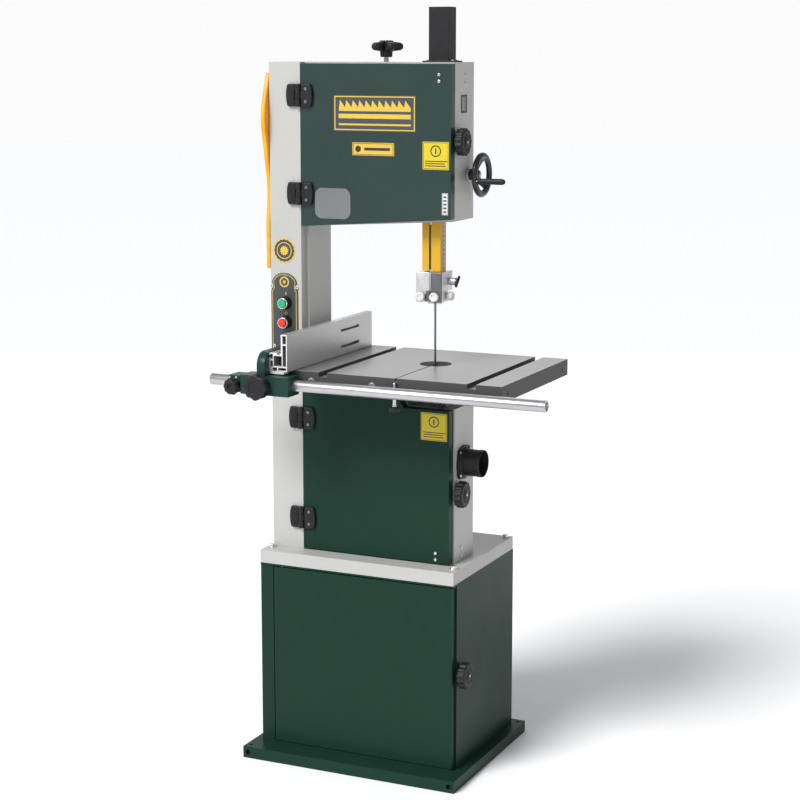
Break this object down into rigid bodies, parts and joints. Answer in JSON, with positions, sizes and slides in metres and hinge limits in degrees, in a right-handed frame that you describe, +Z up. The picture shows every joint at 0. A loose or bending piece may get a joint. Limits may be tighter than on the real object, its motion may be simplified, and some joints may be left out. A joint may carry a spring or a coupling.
{
  "type": "band saw",
  "caption": "Floor-standing band saw on a steel cabinet, with a tilting cast table, sliding fence, rising blade guide and swing-open doors.",
  "frame": {"origin": "centre of the plinth, at floor level", "axes": "+X to the operator's right, +Y to the back of the saw, +Z up"},
  "size_m": [0.789, 0.5513, 1.708],
  "materials": {
    "green_paint": "satin paint",
    "white_paint": "satin paint",
    "yellow_paint": "gloss paint",
    "bright_steel": "turned and ground",
    "cast_iron": "ground top, rough cast sides",
    "black_plastic": "moulded",
    "aluminium": "extruded and anodised",
    "rubber": "matt",
    "clear_plastic": "see-through",
    "slate_paint": "satin paint",
    "green_plastic": "moulded",
    "red_plastic": "moulded",
    "orange_plastic": "moulded",
    "black_paint": "gloss paint"
  },
  "bodies": {
    "frame": {"base_plinth": "green_paint", "cabinet_body": "green_paint", "cabinet_lid": "white_paint", "frame_fasteners": "bright_steel", "column": "white_paint", "upper_wheel_housing": "white_paint", "lower_wheel_housing": "white_paint", "frame_hinge_leaves": "black_plastic", "lower_axle": "bright_steel", "motor": "black_paint", "drive_belt": "rubber", "blade": "bright_steel", "post_cover": "black_plastic", "lower_guide_holder": "cast_iron", "lower_guide_bearings": "bright_steel", "trunnion_bracket": "cast_iron", "dust_port": "black_plastic", "switch_plate": "slate_paint", "push_stick": "orange_plastic"},
    "upper_door": {"upper_door": "green_paint", "door_window": "clear_plastic", "upper_door_leaves": "black_plastic"},
    "lower_door": {"lower_door": "green_paint", "lower_door_leaves": "black_plastic"},
    "cabinet_door": {"cabinet_door": "green_paint"},
    "upper_latch": {"upper_latch": "black_plastic"},
    "lower_latch": {"lower_latch": "black_plastic"},
    "cabinet_latch": {"cabinet_latch": "black_plastic"},
    "wheel_carriage": {"carriage": "cast_iron", "tension_spring": "bright_steel"},
    "wheel_block": {"upper_axle": "bright_steel"},
    "upper_wheel": {"upper_wheel": "cast_iron", "upper_tyre": "rubber", "upper_bearings": "bright_steel"},
    "tension_screw": {"tension_screw": "bright_steel"},
    "tracking_knob": {"tracking_knob": "black_plastic"},
    "lower_wheel": {"lower_wheel": "cast_iron", "lower_tyre": "rubber", "lower_bearings": "bright_steel"},
    "motor_rotor": {"motor_pulley": "bright_steel"},
    "guide_post": {"guide_post": "yellow_paint", "guide_rack": "bright_steel", "blade_guard": "yellow_paint", "upper_guide_holder": "aluminium", "upper_guide_bearings": "bright_steel"},
    "handwheel": {"handwheel": "black_plastic"},
    "crank_grip": {"crank_grip": "black_plastic"},
    "guide_lever": {"guide_lock_lever": "black_plastic"},
    "table": {"table": "cast_iron", "table_insert": "black_plastic", "trunnions": "cast_iron", "fence_rail": "bright_steel"},
    "alignment_pin": {"alignment_pin": "bright_steel"},
    "tilt_lock": {"tilt_lock_lever": "black_plastic"},
    "fence": {"fence_carrier": "green_paint", "fence": "aluminium"},
    "clamp_knob": {"clamp_knob": "black_plastic"},
    "micro_knob": {"micro_adjust_knob": "black_plastic"},
    "start_button": {"start_button": "green_plastic"},
    "stop_button": {"stop_button": "red_plastic"}
  },
  "joints": [
    {"name": "upper_door_swing", "type": "hinge", "parent": "frame", "child": "upper_door", "pos_m": [-0.16, -0.1175, 1.4], "axis": [0, 0, -1], "range_deg": [0, 100]},
    {"name": "lower_door_swing", "type": "hinge", "parent": "frame", "child": "lower_door", "pos_m": [-0.16, -0.1175, 0.67], "axis": [0, 0, -1], "range_deg": [0, 100]},
    {"name": "cabinet_door_swing", "type": "hinge", "parent": "frame", "child": "cabinet_door", "pos_m": [-0.193, -0.149, 0.24], "axis": [0, 0, -1], "range_deg": [0, 95]},
    {"name": "upper_latch_turn", "type": "hinge", "parent": "frame", "child": "upper_latch", "pos_m": [0.204, -0.075, 1.42], "axis": [-1, 0, 0], "range_deg": [0, 90]},
    {"name": "lower_latch_turn", "type": "hinge", "parent": "frame", "child": "lower_latch", "pos_m": [0.208, -0.078, 0.642], "axis": [-1, 0, 0], "range_deg": [0, 90]},
    {"name": "cabinet_latch_turn", "type": "hinge", "parent": "frame", "child": "cabinet_latch", "pos_m": [0.238, -0.127, 0.243], "axis": [-1, 0, 0], "range_deg": [0, 90]},
    {"name": "tension_travel", "type": "slide", "parent": "frame", "child": "wheel_carriage", "axis": [0, 0, 1], "range_m": [-0.015, 0]},
    {"name": "tension_screw_turn", "type": "hinge", "parent": "frame", "child": "tension_screw", "pos_m": [0, 0.002, 1.6], "axis": [0, 0, 1], "range_deg": [-1, 1801]},
    {"name": "wheel_tilt", "type": "hinge", "parent": "wheel_carriage", "child": "wheel_block", "pos_m": [-0.012, -0.006, 1.408], "axis": [1, 0, 0], "range_deg": [-1.5, 1.5]},
    {"name": "tracking_knob_turn", "type": "hinge", "parent": "wheel_carriage", "child": "tracking_knob", "pos_m": [-0.012, 0.04, 1.444], "axis": [0, 1, 0], "range_deg": [-230, 230]},
    {"name": "upper_wheel_spin", "type": "hinge", "parent": "wheel_block", "child": "upper_wheel", "pos_m": [-0.012, -0.042, 1.408], "axis": [0, 1, 0], "continuous": true},
    {"name": "lower_wheel_spin", "type": "hinge", "parent": "frame", "child": "lower_wheel", "pos_m": [-0.012, -0.042, 0.657], "axis": [0, 1, 0], "continuous": true},
    {"name": "motor_spin", "type": "hinge", "parent": "frame", "child": "motor_rotor", "pos_m": [-0.11, 0, 0.56], "axis": [0, 1, 0], "continuous": true},
    {"name": "post_height", "type": "slide", "parent": "frame", "child": "guide_post", "axis": [0, 0, 1], "range_m": [-0.125, 0.085]},
    {"name": "handwheel_turn", "type": "hinge", "parent": "frame", "child": "handwheel", "pos_m": [0.237, -0.01, 1.346], "axis": [1, 0, 0], "range_deg": [-410, 600]},
    {"name": "crank_grip_spin", "type": "hinge", "parent": "handwheel", "child": "crank_grip", "pos_m": [0.263, -0.05153, 1.33487], "axis": [1, 0, 0], "continuous": true},
    {"name": "guide_lever_turn", "type": "hinge", "parent": "guide_post", "child": "guide_lever", "pos_m": [0.18, -0.026, 1.11], "axis": [1, 0, 0], "range_deg": [0, 60]},
    {"name": "table_tilt", "type": "hinge", "parent": "frame", "child": "table", "pos_m": [0.1403, -0.042, 0.924], "axis": [0, 1, 0], "range_deg": [0, 45]},
    {"name": "alignment_pin_turn", "type": "hinge", "parent": "table", "child": "alignment_pin", "pos_m": [0.1403, -0.2565, 0.88], "axis": [0, 0, 1], "range_deg": [-90, 90]},
    {"name": "tilt_lock_turn", "type": "hinge", "parent": "frame", "child": "tilt_lock", "pos_m": [0.176, -0.09, 0.845], "axis": [0, 1, 0], "range_deg": [0, 35]},
    {"name": "fence_travel", "type": "slide", "parent": "table", "child": "fence", "axis": [-1, 0, 0], "range_m": [-0.21, 0]},
    {"name": "clamp_knob_turn", "type": "hinge", "parent": "fence", "child": "clamp_knob", "pos_m": [-0.158, -0.32, 0.895], "axis": [0, 1, 0], "range_deg": [-180, 180]},
    {"name": "micro_knob_turn", "type": "hinge", "parent": "fence", "child": "micro_knob", "pos_m": [-0.226, -0.315, 0.89], "axis": [0, 1, 0], "range_deg": [-180, 180]},
    {"name": "start_press", "type": "slide", "parent": "frame", "child": "start_button", "axis": [0, 1, 0], "range_m": [0, 0.003], "stiffness_N_per_m": 400},
    {"name": "stop_press", "type": "slide", "parent": "frame", "child": "stop_button", "axis": [0, 1, 0], "range_m": [0, 0.003], "stiffness_N_per_m": 400}
  ],
  "couplings": [
    {"joint": "tension_screw_turn", "follows": "tension_travel", "rad_per_m": -2094.4},
    {"joint": "tracking_knob_turn", "follows": "wheel_tilt", "ratio": 150},
    {"joint": "upper_wheel_spin", "follows": "lower_wheel_spin", "ratio": 1},
    {"joint": "motor_spin", "follows": "lower_wheel_spin", "ratio": 2.4},
    {"joint": "handwheel_turn", "follows": "post_height", "rad_per_m": -83.333}
  ]
}
